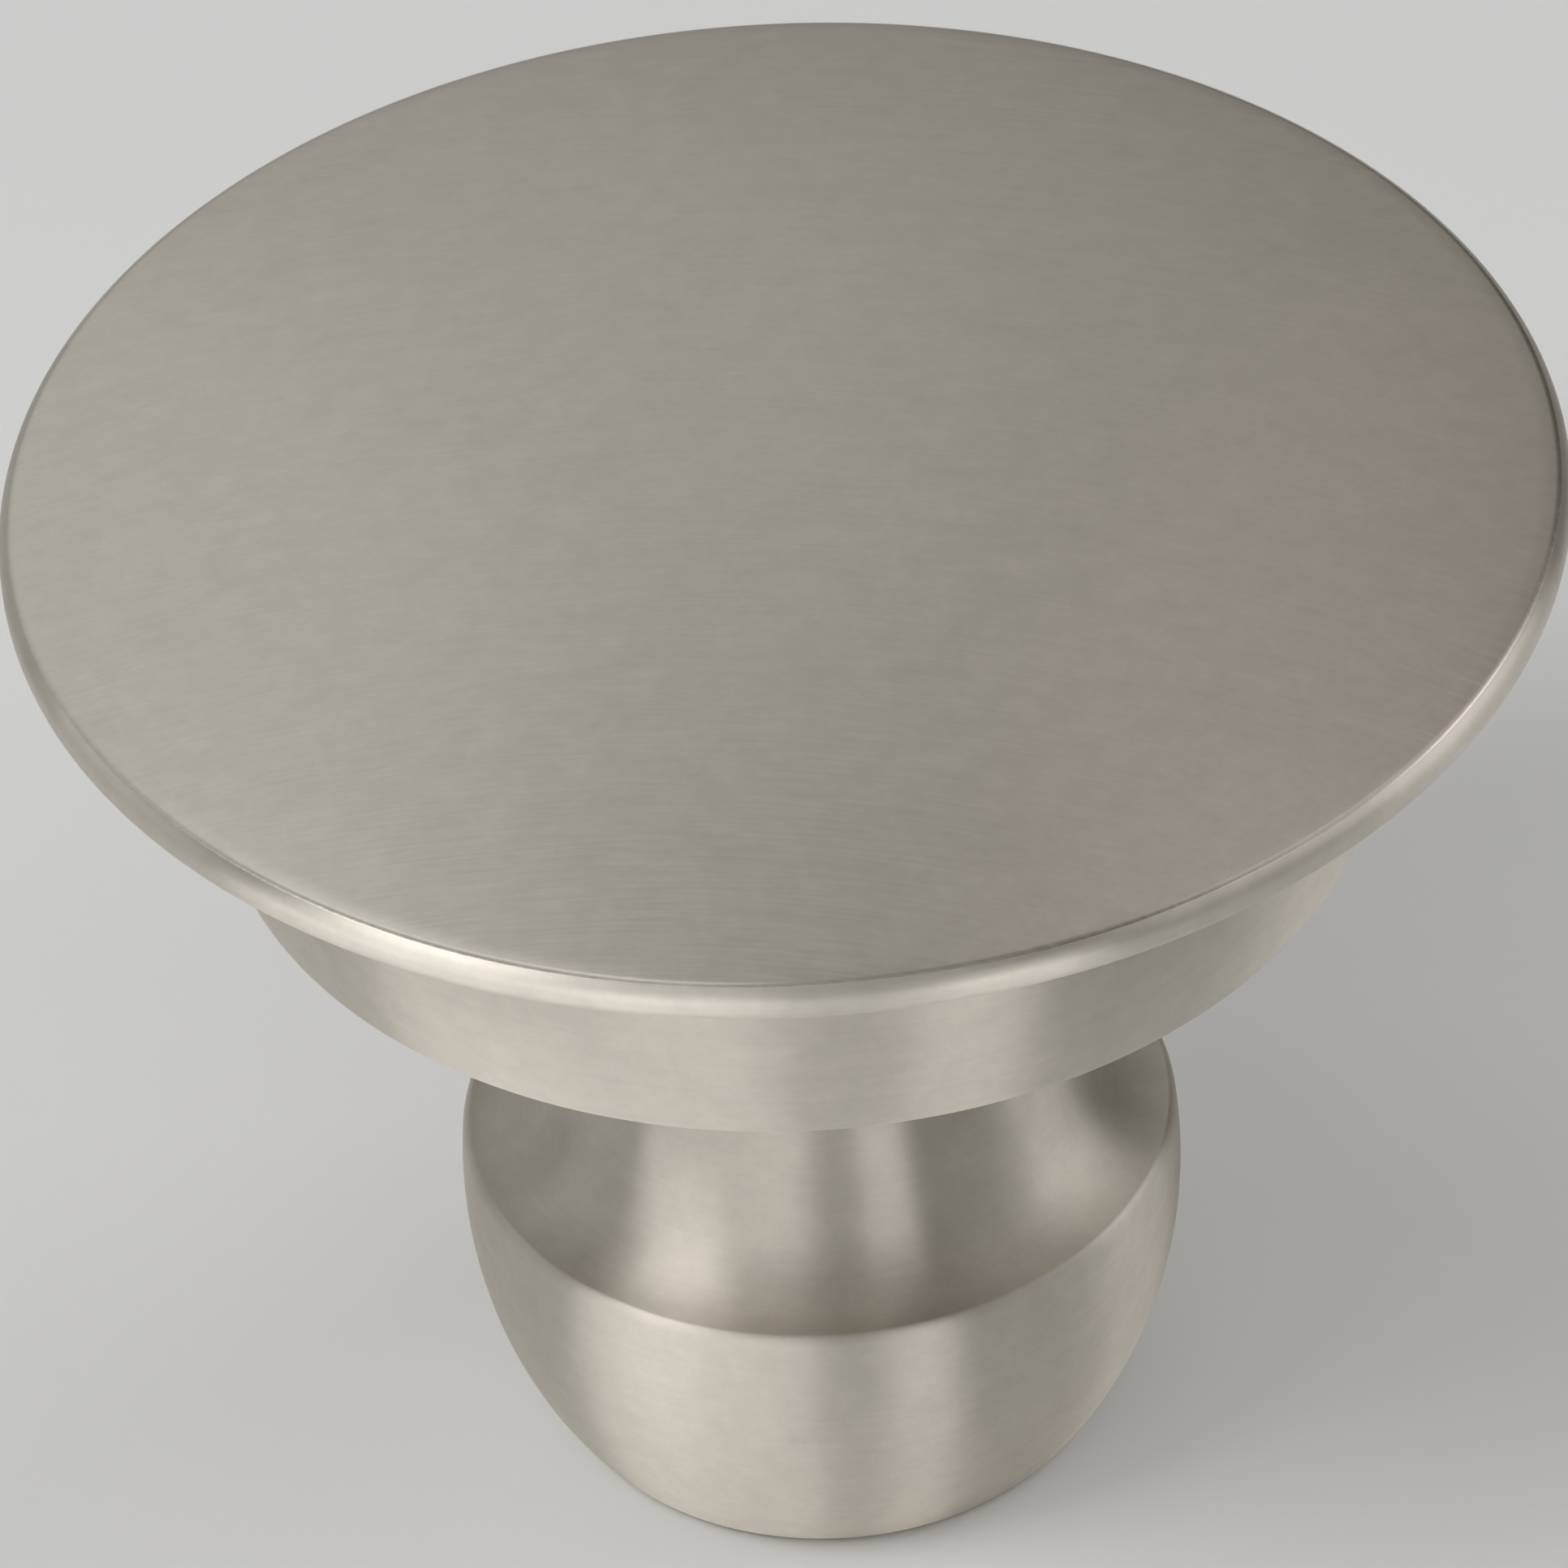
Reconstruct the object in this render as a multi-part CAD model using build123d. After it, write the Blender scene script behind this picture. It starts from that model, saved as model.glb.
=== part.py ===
"""One-piece cabinet knob: a domed disc head on a shallow cup, a waisted neck and a rounded base.

Millimetres. The origin is the middle of the flat foot that sits on the drawer front, with +Z
along the knob's axis, towards the head. The whole knob is one turned profile, less a tapped hole.
"""
from build123d import *
import os
from math import asin, cos, degrees, radians, sin, sqrt, tan

# Head: a disc with a domed face, a thin rounded rim and a flat soffit under the rim
head_diameter = 32.0
dome_rise = 1.5
rim_top_round = 0.40
rim_bottom_round = 0.25
rim_flat = 0.10

# Cup under the head: a shallow bowl wall that ends in a crisp lower edge
rim_overhang = 3.1
cup_depth = 6.35
cup_taper = 0.95
cup_edge_round = 0.15
soffit_cove = 0.80

# Neck: a waist under the cup, a taper that widens down to the base, and a cove at each end
neck_height = 9.5
neck_diameter = 8.6
neck_taper_angle = 14.5
upper_cove = 3.0
flare_height = 1.3

# Base: an egg-shaped ball, cut off above at a ridge and below by the flat foot
ball_diameter = 15.2
belly_height = 5.95
foot_set_in = 1.86
ridge_rise = 1.35
ridge_round = 0.30
foot_edge_round = 0.30

# Tapped hole in the foot for a number 8-32 machine screw, at its tapping-drill size
tap_drill_diameter = 3.454
hole_depth = 12.0
drill_point_angle = 118.0
countersink_width = 0.65

# Heights above the foot and radii from the axis that follow from the sizes above
ridge_height = belly_height + ridge_rise
cup_edge_height = ridge_height + neck_height
soffit_height = cup_edge_height + cup_depth
rim_top_height = soffit_height + rim_bottom_round + rim_flat + rim_top_round
overall_height = rim_top_height + dome_rise
head_radius = head_diameter / 2
cup_top_radius = head_radius - rim_overhang
cup_edge_radius = cup_top_radius - cup_taper
neck_radius = neck_diameter / 2
ball_radius = ball_diameter / 2
foot_radius = ball_radius - foot_set_in
drill_radius = tap_drill_diameter / 2

# The ball is an ellipse about the belly that passes through the foot's edge
ball_half_height = belly_height / sqrt(1 - (foot_radius / ball_radius) ** 2)
foot_angle = -degrees(asin(belly_height / ball_half_height))
ridge_angle = degrees(asin(ridge_rise / ball_half_height))
ridge_radius = ball_radius * sqrt(1 - (ridge_rise / ball_half_height) ** 2)

# The neck's straight taper touches the upper cove and ends where the flare begins
neck_taper = radians(neck_taper_angle)
down_the_neck = (sin(neck_taper), -cos(neck_taper))
up_the_neck = (-sin(neck_taper), cos(neck_taper))
neck_top_radius = neck_radius + upper_cove * (1 - cos(neck_taper))
neck_top_height = cup_edge_height - upper_cove * (1 + sin(neck_taper))
neck_bottom_height = ridge_height + flare_height
neck_bottom_radius = neck_top_radius + (neck_top_height - neck_bottom_height) * tan(neck_taper)

# Corners of the half section, as radius and height
foot_edge = (foot_radius, 0)
ridge = (ridge_radius, ridge_height)
neck_bottom = (neck_bottom_radius, neck_bottom_height)
neck_top = (neck_top_radius, neck_top_height)
cove_end = (neck_radius + upper_cove, cup_edge_height)
cup_edge = (cup_edge_radius, cup_edge_height)
cup_top = (cup_top_radius, soffit_height)
rim_bottom = (head_radius, soffit_height)
rim_top = (head_radius, rim_top_height)
apex = (0, overall_height)

rounded_corners = [
    (foot_edge, foot_edge_round),
    (ridge, ridge_round),
    (cup_edge, cup_edge_round),
    (cup_top, soffit_cove),
    (rim_bottom, rim_bottom_round),
    (rim_top, rim_top_round),
]


def knob_section():
    """Half section of the knob, from the foot round to the middle of the domed face."""
    with BuildSketch() as section:
        with BuildLine():
            Line((0, 0), foot_edge)
            EllipticalCenterArc(
                (0, belly_height),
                ball_radius,
                ball_half_height,
                foot_angle,
                arc_size=ridge_angle - foot_angle,
            )
            TangentArc(neck_bottom, ridge, tangent=down_the_neck)
            Line(neck_bottom, neck_top)
            TangentArc(neck_top, cove_end, tangent=up_the_neck)
            Line(cove_end, cup_edge)
            TangentArc(cup_top, cup_edge, tangent=(0, -1))
            Line(cup_top, rim_bottom)
            Line(rim_bottom, rim_top)
            TangentArc(apex, rim_top, tangent=(1, 0))
            Line(apex, (0, 0))
        make_face()
        for corner, radius in rounded_corners:
            fillet(section.vertices().sort_by_distance(corner)[0], radius)
    return section.sketch


def hole_section():
    """Half section of the blind hole: countersink, straight wall and drill point."""
    point_height = drill_radius / tan(radians(drill_point_angle / 2))
    with BuildSketch() as section:
        with BuildLine():
            Polyline(
                (0, 0),
                (drill_radius + countersink_width, 0),
                (drill_radius, countersink_width),
                (drill_radius, hole_depth),
                (0, hole_depth + point_height),
                close=True,
            )
        make_face()
    return section.sketch


def turned(section):
    """A half section stood up and turned about the knob's axis."""
    return revolve(Plane.XZ * section, axis=Axis.Z)


knob_body = turned(knob_section()) - turned(hole_section())

os.makedirs("parts", exist_ok=True)
export_step(knob_body, "parts/knob_body.step")
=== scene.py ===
"""Dresses a turned cabinet knob: a fine mesh with its screw thread, brushed nickel and a soft studio."""
from math import acos, atan2, cos, floor, hypot, pi, radians, sin, sqrt, tan
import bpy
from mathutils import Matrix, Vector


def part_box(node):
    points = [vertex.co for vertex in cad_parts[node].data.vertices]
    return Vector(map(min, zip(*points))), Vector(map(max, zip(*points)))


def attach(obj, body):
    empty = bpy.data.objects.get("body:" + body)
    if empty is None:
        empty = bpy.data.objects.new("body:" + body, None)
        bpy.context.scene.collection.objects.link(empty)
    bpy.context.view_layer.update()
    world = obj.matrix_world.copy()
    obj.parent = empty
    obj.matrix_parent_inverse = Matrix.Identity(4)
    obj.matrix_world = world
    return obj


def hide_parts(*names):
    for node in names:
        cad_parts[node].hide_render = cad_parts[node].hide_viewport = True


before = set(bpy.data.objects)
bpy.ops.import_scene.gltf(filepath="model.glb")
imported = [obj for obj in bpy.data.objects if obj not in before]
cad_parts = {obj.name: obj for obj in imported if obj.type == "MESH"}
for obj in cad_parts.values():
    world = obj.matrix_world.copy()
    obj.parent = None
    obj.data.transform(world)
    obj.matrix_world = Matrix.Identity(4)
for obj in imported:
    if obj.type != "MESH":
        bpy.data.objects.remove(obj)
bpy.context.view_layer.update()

from types import SimpleNamespace

import bmesh
import bpy
from bpy.props import FloatProperty, FloatVectorProperty, IntProperty, PointerProperty, StringProperty
from mathutils import Matrix, Vector

bl_info = {
    "name": "Turned cabinet knob",
    "version": (1, 0, 0),
    "blender": (4, 5, 0),
    "location": "3D View > Sidebar > Knob",
    "description": "Models a brushed nickel cabinet knob and the studio that shows it",
    "category": "Add Mesh",
}

knob_low, knob_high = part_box("knob_body")

MM = 0.001
SAME_PLACE = 0.0005 * MM

# Rows of faces that each turn of the thread gets along the hole's wall
ROWS_PER_TURN = 12

# Places of the finishes in the knob's list of materials
LATHE, FACE, RIM = range(3)

# Colours of the light, and how far from the knob a softbox stands, in metres
WHITE = "#ffffff"
WARM = "#fff9f4"
COOL = "#fcffff"
NEAR = 0.12
FAR = 0.6


def length(name, description, default):
    """A length in metres that a user can change."""
    return FloatProperty(name=name, description=description, default=default, unit="LENGTH", precision=5)


def angle(name, description, degrees):
    """An angle that a user can change, given here in degrees."""
    return FloatProperty(name=name, description=description, default=radians(degrees), subtype="ANGLE")


def share(name, description, default):
    """A number from 0 to 1 that a user can change."""
    return FloatProperty(name=name, description=description, default=default, min=0, max=1, subtype="FACTOR")


def hex_colour(name, description, default):
    """An sRGB colour as a hex string that a user can change."""
    return StringProperty(name=name, description=description, default=default)


class KnobSizes(bpy.types.PropertyGroup):
    """Sizes of the knob, from the head down to the screw hole."""

    head_diameter: length("Head diameter", "Across the rim", knob_high.x - knob_low.x)
    height: length("Height", "From the foot to the top of the dome", knob_high.z - knob_low.z)
    dome_rise: length("Dome rise", "From the rim's upper edge to the top of the dome", 1.5 * MM)
    rim_height: length("Rim height", "From the soffit to the rim's upper edge", 0.75 * MM)
    rim_top_round: length("Rim top round", "Radius of the rim's upper edge", 0.40 * MM)
    rim_bottom_round: length("Rim bottom round", "Radius of the rim's lower edge", 0.25 * MM)
    rim_overhang: length("Rim overhang", "How far the rim stands out from the cup", 3.1 * MM)
    cup_depth: length("Cup depth", "From the cup's lower edge to the soffit", 6.35 * MM)
    cup_taper: length("Cup taper", "How far the cup's wall draws in towards its lower edge", 0.95 * MM)
    cup_edge_round: length("Cup edge round", "Radius of the cup's lower edge", 0.15 * MM)
    soffit_cove: length("Soffit cove", "Radius of the corner between cup and soffit", 0.80 * MM)
    neck_diameter: length("Neck diameter", "Across the waist", 8.6 * MM)
    neck_taper: angle("Neck taper", "How far the neck's wall leans from upright", 14.5)
    upper_cove: length("Upper cove", "Radius of the cove under the cup", 3.0 * MM)
    flare_height: length("Flare height", "Height of the cove above the base's ridge", 1.3 * MM)
    ball_diameter: length("Ball diameter", "Across the belly of the base", 15.2 * MM)
    belly_height: length("Belly height", "From the foot to the widest part of the base", 5.95 * MM)
    ridge_rise: length("Ridge rise", "From the belly to the ridge", 1.35 * MM)
    ridge_round: length("Ridge round", "Radius of the ridge", 0.30 * MM)
    foot_set_in: length("Foot set-in", "How far the foot's edge lies inside the belly", 1.86 * MM)
    foot_edge_round: length("Foot edge round", "Radius of the foot's edge", 0.30 * MM)
    drill_diameter: length("Drill diameter", "Tapping drill for a number 8-32 screw", 3.454 * MM)
    hole_depth: length("Hole depth", "From the foot to the end of the drill's straight wall", 12.0 * MM)
    drill_point_angle: angle("Drill point angle", "Full angle of the cone that the drill leaves", 118)
    countersink: length("Countersink", "Width and depth of the chamfer at the mouth", 0.65 * MM)
    thread_diameter: length("Thread diameter", "Outer diameter of the thread", 4.166 * MM)
    thread_pitch: length("Thread pitch", "From one crest to the next, 32 to the inch", 0.794 * MM)
    thread_depth: length("Thread depth", "From the foot to where the tap's lead begins", 9.5 * MM)
    steps_around: IntProperty(
        name="Steps around", description="Faces round the knob", default=256, min=32, max=512
    )


class KnobFinish(bpy.types.PropertyGroup):
    """Colour and brushing of the nickel."""

    nickel: hex_colour("Nickel", "Colour of the plate", "#d3cdc2")
    lathe_roughness: share("Lathe roughness", "Roughness where the knob was brushed on a lathe", 0.46)
    lathe_anisotropy: share("Lathe anisotropy", "How much grooves round the knob draw out the gloss", 0.98)
    rim_roughness: share("Rim roughness", "Roughness of the rim, brushed finer than the rest", 0.42)
    rim_anisotropy: share("Rim anisotropy", "How much grooves round the rim draw out the gloss", 0.95)
    face_roughness: share("Face roughness", "Roughness of the domed face", 0.24)
    face_anisotropy: share("Face anisotropy", "How much grooves across the face draw out the gloss", 0.60)


class StageSettings(bpy.types.PropertyGroup):
    """Camera and floor."""

    elevation: angle("Elevation", "Height of the camera above the horizon", 39.45)
    roll: angle("Roll", "Turn of the camera about its line of sight", -3.365)
    distance: length("Distance", "From the camera to the point that it looks at", 274.2 * MM)
    aim: FloatVectorProperty(
        name="Aim",
        description="Point at the middle of the picture",
        default=(-0.343 * MM, 0, 16.01 * MM),
        unit="LENGTH",
    )
    lens: FloatProperty(name="Lens", description="Focal length in millimetres", default=304.1)
    floor_colour: hex_colour("Floor", "Colour of the floor", "#eeeeee")
    floor_size: length("Floor size", "Across the floor", 3.0)


def linear(hex_value):
    """An sRGB hex colour as linear red, green, blue and alpha."""
    channels = [int(hex_value[i:i + 2], 16) / 255 for i in (1, 3, 5)]
    return [c / 12.92 if c <= 0.04045 else ((c + 0.055) / 1.055) ** 2.4 for c in channels] + [1.0]


def add_node(tree, kind, settings=None, inputs=None):
    """Adds a node, sets its properties, and fills or links its sockets."""
    node = tree.nodes.new(kind)
    for name, value in (settings or {}).items():
        setattr(node, name, value)
    for name, value in (inputs or {}).items():
        if isinstance(value, bpy.types.NodeSocket):
            tree.links.new(value, node.inputs[name])
        else:
            node.inputs[name].default_value = value
    return node


def new_material(name):
    """An empty material and its node tree."""
    material = bpy.data.materials.new(name)
    material.use_nodes = True
    material.node_tree.nodes.clear()
    return material, material.node_tree


# Drawing a half section in edit mode: a point is (radius, height), and the end drawn last is selected

def start_section(name, point):
    """A new mesh in edit mode that is one selected point."""
    bpy.ops.object.select_all(action="DESELECT")
    bpy.ops.mesh.primitive_plane_add(size=MM)
    piece = bpy.context.object
    piece.name = name
    piece.data.name = name
    bpy.ops.object.mode_set(mode="EDIT")
    bpy.ops.mesh.select_mode(type="VERT")
    bpy.ops.mesh.merge(type="CENTER")
    bpy.ops.transform.translate(value=(point[0], 0, point[1]))
    return piece


def draw_line(start, end, rows=1):
    """A straight line, drawn on from the selected point."""
    step = ((end[0] - start[0]) / rows, 0, (end[1] - start[1]) / rows)
    for _ in range(rows):
        bpy.ops.mesh.extrude_region_move(TRANSFORM_OT_translate={"value": step})


def draw_arc(start, end, centre, rows):
    """An arc about a centre, drawn on from the selected point the short way round."""
    first = atan2(start[1] - centre[1], start[0] - centre[0])
    last = atan2(end[1] - centre[1], end[0] - centre[0])
    turn = (last - first + pi) % (2 * pi) - pi
    bpy.ops.mesh.spin(steps=rows, angle=turn, center=(centre[0], 0, centre[1]), axis=(0, 1, 0))


def nearest_point(mesh, point):
    """The mesh's vertex that is nearest to a point of the section."""
    target = Vector((point[0], 0, point[1]))
    return min(mesh.verts, key=lambda vert: (vert.co - target).length)


def pick_point(piece, point):
    """Selects only the vertex at a point of the section."""
    bpy.ops.mesh.select_all(action="DESELECT")
    mesh = bmesh.from_edit_mesh(piece.data)
    nearest_point(mesh, point).select_set(True)
    bmesh.update_edit_mesh(piece.data)


def round_corner(piece, corner, radius, rows):
    """Rounds a corner of the section with a vertex bevel as long as the radius needs."""
    pick_point(piece, corner)
    mesh = bmesh.from_edit_mesh(piece.data)
    vert = nearest_point(mesh, corner)
    along = [(edge.other_vert(vert).co - vert.co).normalized() for edge in vert.link_edges]
    opening = acos(along[0].dot(along[1]))
    bpy.ops.mesh.bevel(offset=radius / tan(opening / 2), segments=rows, affect="VERTICES", profile=0.5)


def arc_centre(start, heading, end):
    """Centre of the arc that leaves start along a heading and ends at end."""
    across = (-heading[1], heading[0])
    run, rise = end[0] - start[0], end[1] - start[1]
    reach = (run * run + rise * rise) / (2 * (run * across[0] + rise * across[1]))
    return start[0] + reach * across[0], start[1] + reach * across[1]


def ball_stretch(size):
    """How much taller than a round ball the base is, so that it passes through the foot's edge."""
    ball_radius = size.ball_diameter / 2
    foot_radius = ball_radius - size.foot_set_in
    return size.belly_height / sqrt(ball_radius ** 2 - foot_radius ** 2)


def section_corners(size):
    """Corners of the knob's half section, from the top of the dome round to the drill's point."""
    head_radius = size.head_diameter / 2
    ball_radius = size.ball_diameter / 2
    drill_radius = size.drill_diameter / 2
    cup_top_radius = head_radius - size.rim_overhang
    rim_top_height = size.height - size.dome_rise
    soffit_height = rim_top_height - size.rim_height
    cup_edge_height = soffit_height - size.cup_depth
    ridge_height = size.belly_height + size.ridge_rise
    ridge_radius = sqrt(ball_radius ** 2 - (size.ridge_rise / ball_stretch(size)) ** 2)
    cove_radius = size.neck_diameter / 2 + size.upper_cove
    cove_height = cup_edge_height - size.upper_cove
    neck_top = (
        cove_radius - size.upper_cove * cos(size.neck_taper),
        cove_height - size.upper_cove * sin(size.neck_taper),
    )
    neck_drop = neck_top[1] - ridge_height - size.flare_height
    drill_point_height = size.hole_depth + drill_radius / tan(size.drill_point_angle / 2)
    return SimpleNamespace(
        apex=(0, size.height),
        rim_top=(head_radius, rim_top_height),
        rim_bottom=(head_radius, soffit_height),
        cup_top=(cup_top_radius, soffit_height),
        cup_edge=(cup_top_radius - size.cup_taper, cup_edge_height),
        cove_end=(cove_radius, cup_edge_height),
        cove_centre=(cove_radius, cove_height),
        neck_top=neck_top,
        neck_bottom=(neck_top[0] + neck_drop * tan(size.neck_taper), neck_top[1] - neck_drop),
        ridge=(ridge_radius, ridge_height),
        foot_edge=(ball_radius - size.foot_set_in, 0),
        mouth=(drill_radius + size.countersink, 0),
        wall_bottom=(drill_radius, size.countersink),
        wall_top=(drill_radius, size.hole_depth),
        drill_point=(0, drill_point_height),
    )


def draw_ball(size, at):
    """Starts the section with the base: a circle's arc, stretched along the axis about the belly."""
    stretch = ball_stretch(size)
    belly = (0, size.belly_height)
    start = (at.foot_edge[0], size.belly_height - size.belly_height / stretch)
    end = (at.ridge[0], size.belly_height + size.ridge_rise / stretch)
    piece = start_section("knob", start)
    draw_arc(start, end, belly, rows=24)
    bpy.ops.mesh.select_all(action="SELECT")
    bpy.ops.transform.resize(value=(1, 1, stretch), center_override=(0, 0, size.belly_height))
    return piece


def draw_neck(size, at):
    """Draws on from the ridge: a small cove, the tapered neck and the cove under the cup."""
    down_the_neck = (sin(size.neck_taper), -cos(size.neck_taper))
    draw_arc(at.ridge, at.neck_bottom, arc_centre(at.neck_bottom, down_the_neck, at.ridge), rows=14)
    draw_line(at.neck_bottom, at.neck_top, rows=4)
    draw_arc(at.neck_top, at.cove_end, at.cove_centre, rows=14)


def draw_head(size, at):
    """Draws on from the neck: the cup, the soffit, the rim and the domed face."""
    head_radius = size.head_diameter / 2
    dome_radius = (head_radius ** 2 + size.dome_rise ** 2) / (2 * size.dome_rise)
    draw_line(at.cove_end, at.cup_edge, rows=4)
    draw_arc(at.cup_edge, at.cup_top, arc_centre(at.cup_top, (0, -1), at.cup_edge), rows=6)
    draw_line(at.cup_top, at.rim_bottom, rows=2)
    draw_line(at.rim_bottom, at.rim_top)
    draw_arc(at.rim_top, at.apex, (0, size.height - dome_radius), rows=24)


def draw_foot_and_hole(size, at):
    """Draws on from the foot's edge: the foot, the countersink, the hole's wall and the drill's point."""
    turns = (size.hole_depth - size.countersink) / size.thread_pitch
    draw_line(at.foot_edge, at.mouth, rows=3)
    draw_line(at.mouth, at.wall_bottom)
    draw_line(at.wall_bottom, at.wall_top, rows=round(turns * ROWS_PER_TURN))
    draw_line(at.wall_top, at.drill_point, rows=3)


def draw_knob_section(size):
    """Draws the knob's half section in edit mode and rounds its corners."""
    at = section_corners(size)
    piece = draw_ball(size, at)
    pick_point(piece, at.ridge)
    draw_neck(size, at)
    draw_head(size, at)
    pick_point(piece, at.foot_edge)
    draw_foot_and_hole(size, at)
    round_corner(piece, at.foot_edge, size.foot_edge_round, rows=6)
    round_corner(piece, at.ridge, size.ridge_round, rows=8)
    round_corner(piece, at.cup_edge, size.cup_edge_round, rows=6)
    round_corner(piece, at.cup_top, size.soffit_cove, rows=6)
    round_corner(piece, at.rim_bottom, size.rim_bottom_round, rows=7)
    round_corner(piece, at.rim_top, size.rim_top_round, rows=8)
    return piece


def turn_section(size):
    """Spins the half section round the knob's axis and closes the mesh."""
    bpy.ops.mesh.select_all(action="SELECT")
    bpy.ops.mesh.spin(steps=size.steps_around, angle=2 * pi, center=(0, 0, 0), axis=(0, 0, 1))
    bpy.ops.mesh.select_all(action="SELECT")
    bpy.ops.mesh.remove_doubles(threshold=SAME_PLACE)
    bpy.ops.mesh.normals_make_consistent(inside=False)


def thread_cut(turns, size):
    """How deep the thread is cut, at a number of turns past a crest's middle."""
    groove_depth = (size.thread_diameter - size.drill_diameter) / 2
    # The flanks lean by 30 degrees, and the flat at the root is an eighth of the pitch
    flank = groove_depth * tan(radians(30))
    root = size.thread_pitch / 8
    from_root = abs(turns - floor(turns) - 0.5) * size.thread_pitch
    return groove_depth * min(1, max(0, 1 - (from_root - root / 2) / flank))


def cut_thread(piece, size):
    """Presses a right-hand thread into the straight wall of the hole, with a lead of two turns."""
    drill_radius = size.drill_diameter / 2
    lead = 2 * size.thread_pitch
    mesh = bmesh.from_edit_mesh(piece.data)
    for vert in mesh.verts:
        radius = hypot(vert.co.x, vert.co.y)
        on_wall = abs(radius - drill_radius) < SAME_PLACE
        if on_wall and vert.co.z < size.thread_depth + lead:
            turns = vert.co.z / size.thread_pitch - atan2(vert.co.y, vert.co.x) / (2 * pi)
            run_out = min(1, max(0, (size.thread_depth + lead - vert.co.z) / lead))
            grown = (radius + thread_cut(turns, size) * run_out) / radius
            vert.co.x *= grown
            vert.co.y *= grown
    bmesh.update_edit_mesh(piece.data)


def shade_knob(piece):
    """Smooth shading that keeps the large faces true beside the small rounds."""
    crease_angle = radians(35)
    bpy.ops.object.mode_set(mode="OBJECT")
    bpy.ops.object.shade_smooth_by_angle(angle=crease_angle)
    weighted = piece.modifiers.new("weighted_normals", "WEIGHTED_NORMAL")
    weighted.keep_sharp = True
    bpy.ops.object.modifier_apply(modifier=weighted.name)


def nickel_shader(tree, colour, dullest, roughness, anisotropy, brush_direction, streaks, cloud):
    """Brushed nickel: grooves draw the gloss out across the brushing, and streaks break it up.

    The colour swings from dullest times itself to as far above itself.
    """
    cloud_share = 0.68
    roughness_swing = 0.05
    groove_depth = 0.004 * MM
    quarter_turn = 0.25
    darker = [c * dullest for c in colour[:3]] + [1]
    brighter = [c * (2 - dullest) for c in colour[:3]] + [1]
    mottle = add_node(tree, "ShaderNodeMix", {}, {"Factor": cloud_share, "A": streaks, "B": cloud})
    tint = add_node(
        tree,
        "ShaderNodeMix",
        {"data_type": "RGBA"},
        {"Factor": mottle.outputs["Result"], "A": darker, "B": brighter},
    )
    rough = add_node(
        tree,
        "ShaderNodeMapRange",
        {},
        {"Value": streaks, "To Min": roughness - roughness_swing, "To Max": roughness + roughness_swing},
    )
    bump = add_node(
        tree, "ShaderNodeBump", {}, {"Strength": 0.15, "Distance": groove_depth, "Height": streaks}
    )
    shader = add_node(
        tree,
        "ShaderNodeBsdfPrincipled",
        {},
        {
            "Base Color": tint.outputs["Result"],
            "Metallic": 1.0,
            "Roughness": rough.outputs["Result"],
            "Anisotropic": anisotropy,
            "Anisotropic Rotation": quarter_turn,
            "Tangent": brush_direction,
            "Normal": bump.outputs["Normal"],
        },
    )
    add_node(tree, "ShaderNodeOutputMaterial", {}, {"Surface": shader.outputs["BSDF"]})


def cloud_noise(tree, place):
    """Faint clouds in the plate, from under a millimetre across to finer than a hair line."""
    cloud_width = 0.8 * MM
    cloud = add_node(
        tree,
        "ShaderNodeTexNoise",
        {},
        {"Vector": place, "Scale": 1 / cloud_width, "Detail": 5.0, "Roughness": 0.75},
    )
    return cloud.outputs["Fac"]


def round_an_axis(tree, place):
    """Distance from an upright axis, the direction away from it and the direction round it."""
    flat = add_node(tree, "ShaderNodeVectorMath", {"operation": "MULTIPLY"}, {0: place, 1: (1, 1, 0)})
    reach = add_node(tree, "ShaderNodeVectorMath", {"operation": "LENGTH"}, {0: flat.outputs[0]})
    outward = add_node(tree, "ShaderNodeVectorMath", {"operation": "NORMALIZE"}, {0: flat.outputs[0]})
    around = add_node(
        tree, "ShaderNodeVectorMath", {"operation": "CROSS_PRODUCT"}, {0: (0, 0, 1), 1: outward.outputs[0]}
    )
    return reach.outputs["Value"], outward.outputs[0], around.outputs[0]


def lines_across(tree, distance, line_width):
    """A distance across the hair lines, counted in lines."""
    lines = add_node(tree, "ShaderNodeMath", {"operation": "MULTIPLY"}, {0: distance, 1: 1 / line_width})
    return lines.outputs[0]


def hair_line_spot(tree, outward, lines_per_radian, lines):
    """A place for noise that changes slowly along the hair lines and fast across them."""
    spread = add_node(
        tree, "ShaderNodeVectorMath", {"operation": "SCALE"}, {0: outward, "Scale": lines_per_radian}
    )
    lift = add_node(tree, "ShaderNodeCombineXYZ", {}, {"Z": lines})
    spot = add_node(
        tree, "ShaderNodeVectorMath", {"operation": "ADD"}, {0: spread.outputs[0], 1: lift.outputs[0]}
    )
    return spot.outputs[0]


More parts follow.
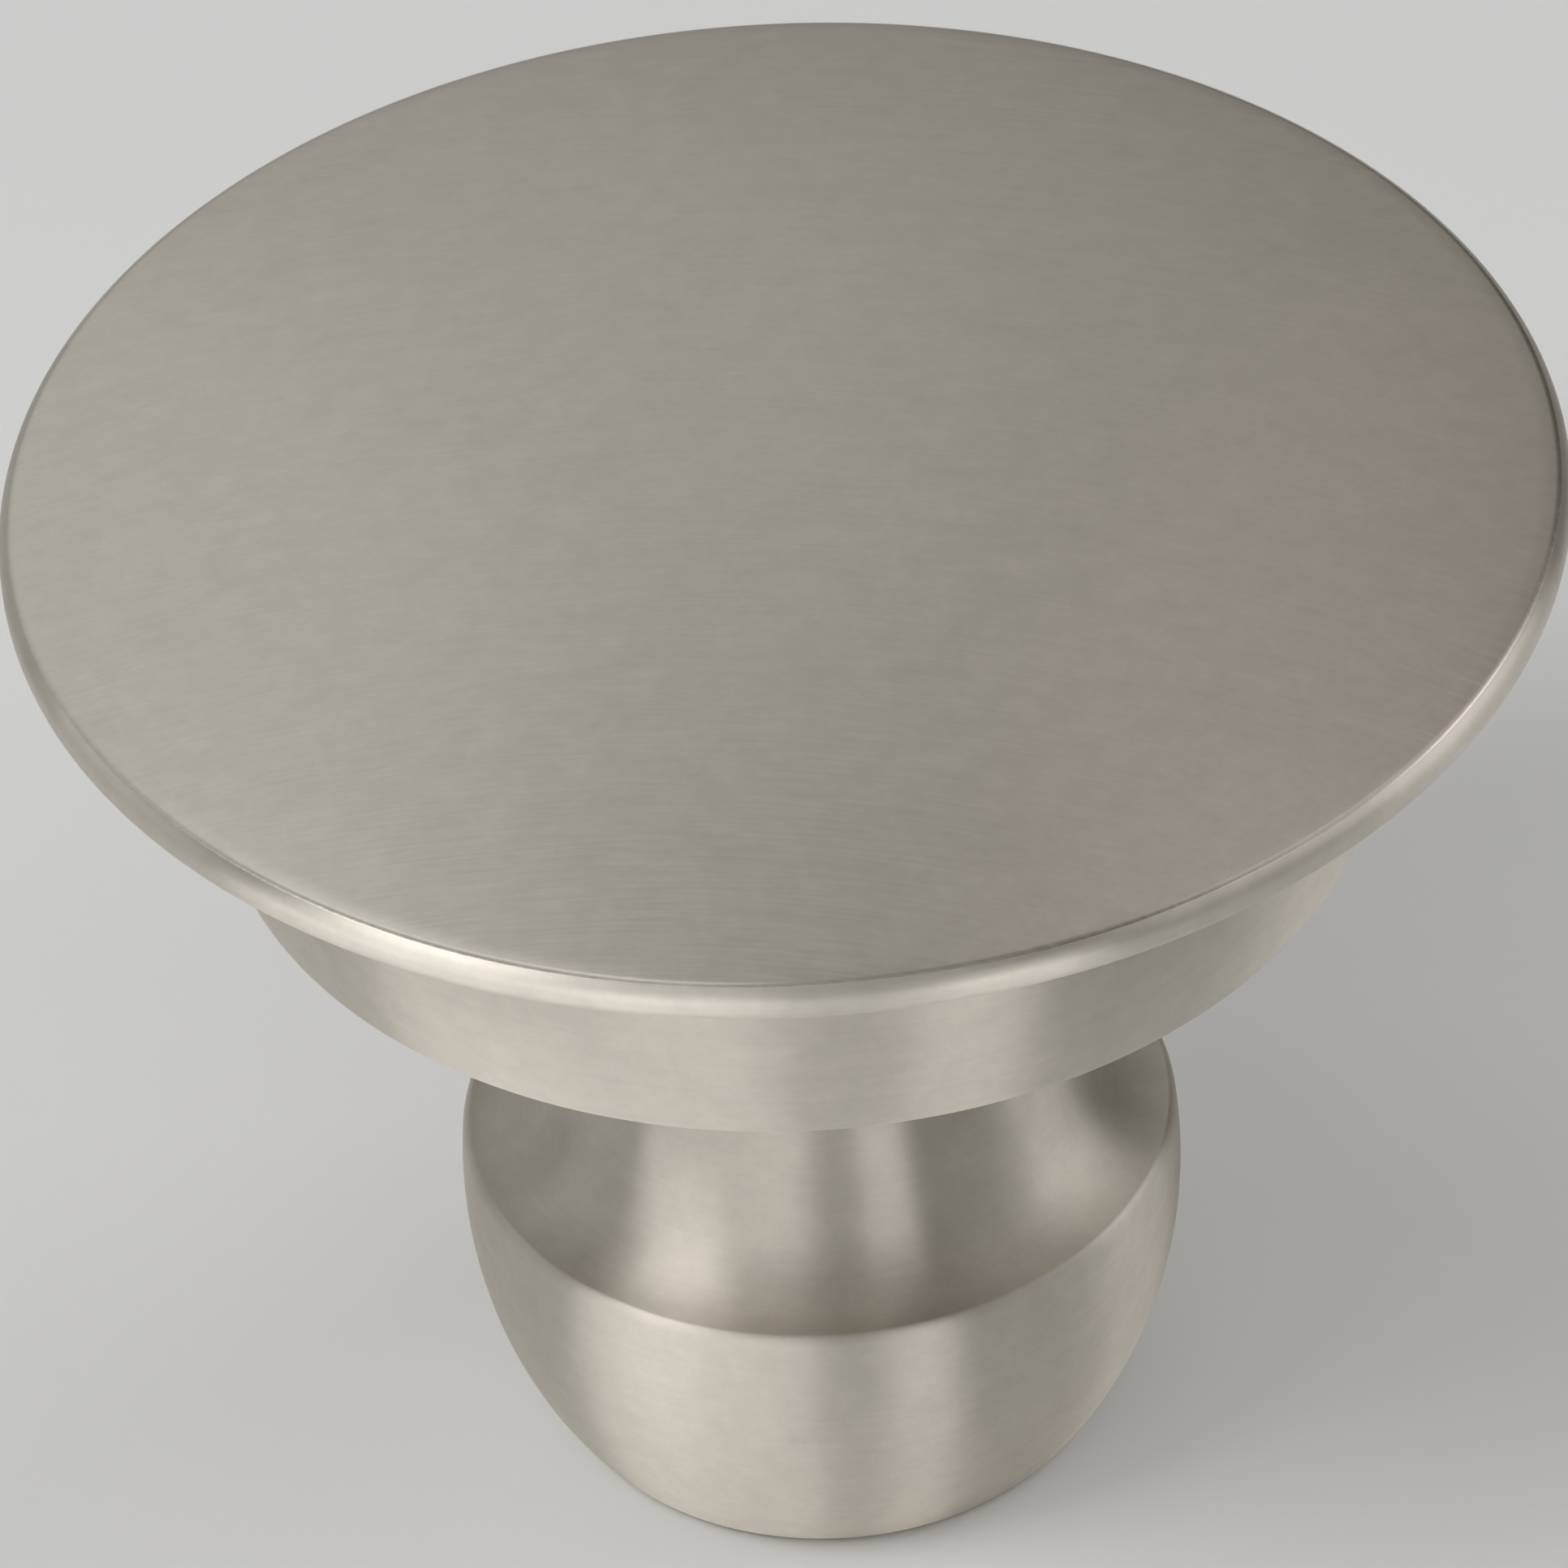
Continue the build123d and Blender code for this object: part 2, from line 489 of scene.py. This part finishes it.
def turned_nickel(name, nickel, roughness, anisotropy):
    """Satin nickel brushed on a lathe: hair lines run round the axis, so gloss stands up in stripes."""
    material, tree = new_material(name)
    place = add_node(tree, "ShaderNodeTexCoord").outputs["Object"]
    parts = add_node(tree, "ShaderNodeSeparateXYZ", {}, {"Vector": place})
    radius, outward, around = round_an_axis(tree, place)
    # A hair line is about 0.05 mm wide; it is drawn 0.09 mm wide so that it shows
    line_width = 0.09 * MM
    lines_up = lines_across(tree, parts.outputs["Z"], line_width)
    lines_out = lines_across(tree, radius, line_width)
    spot = hair_line_spot(tree, outward, lines_per_radian=2.5, lines=lines_up)
    streaks = add_node(
        tree,
        "ShaderNodeTexNoise",
        {"noise_dimensions": "4D"},
        {"Vector": spot, "W": lines_out, "Scale": 1.0, "Detail": 2.0},
    )
    nickel_shader(
        tree,
        linear(nickel),
        dullest=0.80,
        roughness=roughness,
        anisotropy=anisotropy,
        brush_direction=around,
        streaks=streaks.outputs["Fac"],
        cloud=cloud_noise(tree, place),
    )
    return material


def face_nickel(finish):
    """Satin nickel brushed across the face in wide shallow arcs, so gloss spreads from front to back."""
    material, tree = new_material("satin_nickel_straight_brushed")
    place = add_node(tree, "ShaderNodeTexCoord").outputs["Object"]
    # The brush swings about a point in front of the knob
    pivot = (-7.6 * MM, -54 * MM, 0)
    arm = add_node(tree, "ShaderNodeVectorMath", {"operation": "SUBTRACT"}, {0: place, 1: pivot})
    reach, outward, around = round_an_axis(tree, arm.outputs[0])
    # A hair line is about 0.05 mm wide; it is drawn 0.065 mm wide so that it shows
    lines_out = lines_across(tree, reach, 0.065 * MM)
    spot = hair_line_spot(tree, outward, lines_per_radian=25.0, lines=lines_out)
    streaks = add_node(tree, "ShaderNodeTexNoise", {}, {"Vector": spot, "Scale": 1.0, "Detail": 2.0})
    nickel_shader(
        tree,
        linear(finish.nickel),
        dullest=0.82,
        roughness=finish.face_roughness,
        anisotropy=finish.face_anisotropy,
        brush_direction=around,
        streaks=streaks.outputs["Fac"],
        cloud=cloud_noise(tree, place),
    )
    return material


def assign_finishes(piece, size):
    """Gives the domed face, the rim and the rest of the knob their finishes."""
    face_edge = size.height - size.dome_rise - SAME_PLACE
    rim_edge = face_edge - size.rim_height
    rim_inside = size.head_diameter / 2 - size.rim_top_round - SAME_PLACE
    for polygon in piece.data.polygons:
        corners = [piece.data.vertices[i].co for i in polygon.vertices]
        lowest = min(corner.z for corner in corners)
        innermost = min(hypot(corner.x, corner.y) for corner in corners)
        if lowest > face_edge:
            polygon.material_index = FACE
        elif lowest > rim_edge and innermost > rim_inside:
            polygon.material_index = RIM
        else:
            polygon.material_index = LATHE


class KNOB_OT_body(bpy.types.Operator):
    """Models the knob in one piece, with its thread, and brushes it"""

    bl_idname = "knob.body"
    bl_label = "Knob body"

    def execute(self, context):
        size, finish = context.scene.knob_sizes, context.scene.knob_finish
        piece = draw_knob_section(size)
        turn_section(size)
        cut_thread(piece, size)
        shade_knob(piece)
        finishes = {
            LATHE: turned_nickel(
                "satin_nickel_lathe_brushed", finish.nickel, finish.lathe_roughness, finish.lathe_anisotropy
            ),
            FACE: face_nickel(finish),
            RIM: turned_nickel(
                "satin_nickel_fine_lathe_brushed", finish.nickel, finish.rim_roughness, finish.rim_anisotropy
            ),
        }
        for place in sorted(finishes):
            piece.data.materials.append(finishes[place])
        assign_finishes(piece, size)
        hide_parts("knob_body")
        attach(piece, "root")
        return {"FINISHED"}


def add_floor(stage):
    """A pale floor of matt paper, with soft shadows and no shine, a hair below the foot."""
    gap = 0.02 * MM
    bpy.ops.object.select_all(action="DESELECT")
    bpy.ops.mesh.primitive_plane_add(size=stage.floor_size, location=(0, 0, -gap))
    ground = bpy.context.object
    ground.name = "floor"
    material, tree = new_material("matt_white_paper")
    shader = add_node(
        tree,
        "ShaderNodeBsdfPrincipled",
        {},
        {"Base Color": linear(stage.floor_colour), "Roughness": 0.9, "Specular IOR Level": 0.2},
    )
    add_node(tree, "ShaderNodeOutputMaterial", {}, {"Surface": shader.outputs["BSDF"]})
    ground.data.materials.append(material)


def add_world():
    """Soft surroundings: a glow behind, above and to the left, warmer on the right and dark in front."""
    glow_slope = (-0.55, 1.16, 0.93)
    glow_drop = 0.98
    darkest = 0.07
    world = bpy.data.worlds.new("soft_surroundings")
    bpy.context.scene.world = world
    world.use_nodes = True
    tree = world.node_tree
    tree.nodes.clear()
    direction = add_node(tree, "ShaderNodeTexCoord").outputs["Generated"]
    facing = add_node(
        tree, "ShaderNodeVectorMath", {"operation": "DOT_PRODUCT"}, {0: direction, 1: glow_slope}
    )
    glow = add_node(
        tree, "ShaderNodeMath", {"operation": "SUBTRACT"}, {0: facing.outputs["Value"], 1: glow_drop}
    )
    level = add_node(tree, "ShaderNodeMath", {"operation": "MAXIMUM"}, {0: glow.outputs[0], 1: darkest})
    sides = add_node(tree, "ShaderNodeSeparateXYZ", {}, {"Vector": direction})
    rightward = add_node(
        tree, "ShaderNodeMapRange", {}, {"Value": sides.outputs["X"], "From Min": -0.5, "From Max": 0.7}
    )
    colour = add_node(
        tree,
        "ShaderNodeMix",
        {"data_type": "RGBA"},
        {"Factor": rightward.outputs["Result"], "A": linear(COOL), "B": linear(WARM)},
    )
    background = add_node(
        tree,
        "ShaderNodeBackground",
        {},
        {"Color": colour.outputs["Result"], "Strength": level.outputs[0]},
    )
    add_node(tree, "ShaderNodeOutputWorld", {}, {"Surface": background.outputs["Background"]})


def add_softbox(name, towards, distance, span, radiance, colour=WHITE):
    """A softbox that faces the knob. Its azimuth, elevation and span are degrees seen from the knob."""
    azimuth, elevation = (radians(degrees) for degrees in towards)
    width, height = (2 * distance * tan(radians(degrees) / 2) for degrees in span)
    lamp = bpy.data.lights.new(name, "AREA")
    lamp.shape = "RECTANGLE"
    lamp.size = width
    lamp.size_y = height
    lamp.color = linear(colour)[:3]
    lamp.energy = radiance * pi * width * height
    box = bpy.data.objects.new(name, lamp)
    bpy.context.scene.collection.objects.link(box)
    away = Vector((sin(azimuth) * cos(elevation), -cos(azimuth) * cos(elevation), sin(elevation)))
    box.location = away * distance
    box.rotation_euler = away.to_track_quat("Z", "Y").to_euler()
    box.visible_camera = False


def add_lights():
    """Softboxes round the knob. Azimuth 0 is the front, and 90 the right."""
    # Low strips close in front stand as upright stripes on the cup, the neck and the base
    add_softbox("front_left_strip", (-53, 5), NEAR, (45, 10), 4.6)
    add_softbox("front_strip", (-18, 5), NEAR, (25, 10), 5.8)
    add_softbox("front_middle_strip", (4, 5), NEAR, (18, 10), 1.8)
    add_softbox("front_right_strip", (24, 5), NEAR, (20, 10), 5.4)
    # Boxes on the left and above light the rim's left front, the ridge and the foot of the neck
    add_softbox("left_panel", (-98, 30), NEAR, (30, 15), 1.2)
    add_softbox("left_softbox", (-64, 52), FAR, (24, 19), 6.2)
    add_softbox("front_left_softbox", (-30, 60), FAR, (21, 20), 1.6)
    add_softbox("front_right_softbox", (12, 60), FAR, (21, 20), 1.0)
    add_softbox("overhead_softbox", (-30, 86), FAR, (30, 24), 0.22)
    add_softbox("overhead_strip", (-143, 70), FAR, (10, 26), 0.8)
    # Boxes on the right light the right of the neck and the base
    add_softbox("right_softbox", (104, 30), FAR, (36, 36), 1.45)
    add_softbox("right_fill", (70, 50), FAR, (28, 26), 1.2)
    # Weak boxes behind lie as broad soft zones on the domed face, the right ones warm
    add_softbox("back_right_softbox", (127, 54), FAR, (20, 28), 0.55, WARM)
    add_softbox("back_right_high", (148, 64), FAR, (16, 22), 0.16, WARM)
    add_softbox("back_right_fill", (156, 48), FAR, (18, 40), 0.06, WARM)
    add_softbox("back_left_fill", (-156, 36), FAR, (20, 40), 0.05, COOL)


def add_camera(stage):
    """The camera at the picture's viewing angle."""
    lift = stage.elevation
    ahead = Vector((0, cos(lift), -sin(lift)))
    upward = Vector((0, sin(lift), cos(lift)))
    sideways = Vector((1, 0, 0))
    right = cos(stage.roll) * sideways + sin(stage.roll) * upward
    up = -sin(stage.roll) * sideways + cos(stage.roll) * upward
    lens = bpy.data.cameras.new("camera")
    lens.lens = stage.lens
    lens.clip_start = 1 * MM
    camera = bpy.data.objects.new("camera", lens)
    bpy.context.scene.collection.objects.link(camera)
    camera.matrix_world = (
        Matrix.Translation(Vector(stage.aim) - ahead * stage.distance)
        @ Matrix((right, up, -ahead)).transposed().to_4x4()
    )
    bpy.context.scene.camera = camera


class KNOB_OT_stage(bpy.types.Operator):
    """Sets the floor, the light and the camera"""

    bl_idname = "knob.stage"
    bl_label = "Stage"

    def execute(self, context):
        stage = context.scene.knob_stage
        add_floor(stage)
        add_world()
        add_lights()
        add_camera(stage)
        context.scene.view_settings.view_transform = "Standard"
        return {"FINISHED"}


class KNOB_PT_panel(bpy.types.Panel):
    """Lists the knob's operators, sizes and finishes"""

    bl_idname = "KNOB_PT_panel"
    bl_label = "Knob"
    bl_space_type = "VIEW_3D"
    bl_region_type = "UI"
    bl_category = "Knob"

    def draw(self, context):
        column = self.layout.column()
        column.operator(KNOB_OT_body.bl_idname)
        column.operator(KNOB_OT_stage.bl_idname)
        for group in (context.scene.knob_sizes, context.scene.knob_finish, context.scene.knob_stage):
            for name in group.__annotations__:
                column.prop(group, name)


classes = (KnobSizes, KnobFinish, StageSettings, KNOB_OT_body, KNOB_OT_stage, KNOB_PT_panel)


def register():
    for item in classes:
        bpy.utils.register_class(item)
    bpy.types.Scene.knob_sizes = PointerProperty(type=KnobSizes)
    bpy.types.Scene.knob_finish = PointerProperty(type=KnobFinish)
    bpy.types.Scene.knob_stage = PointerProperty(type=StageSettings)


def unregister():
    del bpy.types.Scene.knob_sizes
    del bpy.types.Scene.knob_finish
    del bpy.types.Scene.knob_stage
    for item in reversed(classes):
        bpy.utils.unregister_class(item)


def main():
    """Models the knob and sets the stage."""
    register()
    bpy.ops.knob.body()
    bpy.ops.knob.stage()


if __name__ == "__main__":
    main()
